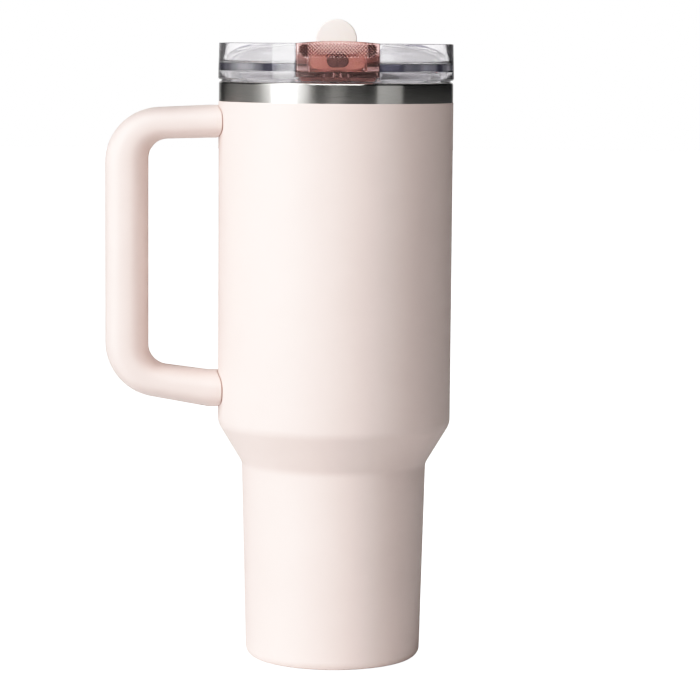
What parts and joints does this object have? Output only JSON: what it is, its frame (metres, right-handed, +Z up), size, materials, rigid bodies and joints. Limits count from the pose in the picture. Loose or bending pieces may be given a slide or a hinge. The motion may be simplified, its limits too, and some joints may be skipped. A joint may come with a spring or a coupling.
{
  "type": "insulated tumbler with lid",
  "caption": "Tall double-wall steel tumbler with a stepped-in lower body, side handle, clear push-in lid, tinted straw cradle and flip-up spout.",
  "frame": {"origin": "centre of the base's resting face, on the body's axis", "axes": "+Z up along the body's axis, -X towards the handle, -Y towards the drinking side of the lid"},
  "size_m": [0.1471, 0.0996, 0.2716],
  "materials": {
    "coat": "fine matt powder coat, pale blush",
    "band_steel": "brushed round the band, bright",
    "liner_steel": "satin, drawn",
    "base_steel": "satin, spun",
    "cap_steel": "satin",
    "getter_metal": "plain",
    "bracket_steel": "plain, welded",
    "screw_steel": "plain",
    "pad_rubber": "matt, body colour",
    "core_plastic": "moulded",
    "grip_skin": "soft matt skin, pale blush",
    "plug_rubber": "matt, body colour",
    "clear_plastic": "clear, polished",
    "gasket_silicone": "translucent white silicone",
    "rose_plastic": "rose tinted, polished, knurled patch",
    "seal_silicone": "white silicone",
    "valve_silicone": "dark silicone",
    "straw_plastic": "clear tube",
    "spout_plastic": "fine satin, pale blush"
  },
  "bodies": {
    "vessel": {"outer_shell": "coat", "neck_band": "band_steel", "inner_liner": "liner_steel", "outer_base": "base_steel", "vacuum_seal_cap": "cap_steel", "vacuum_getter": "getter_metal", "upper_bracket": "bracket_steel", "lower_bracket": "bracket_steel", "upper_saddle": "pad_rubber", "lower_saddle": "pad_rubber", "handle_core": "core_plastic", "handle_grip": "grip_skin", "handle_screws": "screw_steel", "screw_plugs": "plug_rubber"},
    "lid": {"lid_body": "clear_plastic", "lid_gasket": "gasket_silicone", "straw_cradle": "rose_plastic", "port_seal": "seal_silicone", "straw": "straw_plastic"},
    "spout": {"flip_spout": "spout_plastic", "mouth_valve": "valve_silicone", "vent_plug": "seal_silicone"}
  },
  "joints": [
    {"name": "lid_lift", "type": "slide", "parent": "vessel", "child": "lid", "axis": [0, 0, 1], "range_m": [0, 0.24]},
    {"name": "spout_flip", "type": "hinge", "parent": "lid", "child": "spout", "pos_m": [0, 0, 0.2542], "axis": [-1, 0, 0], "range_deg": [0, 90]}
  ]
}
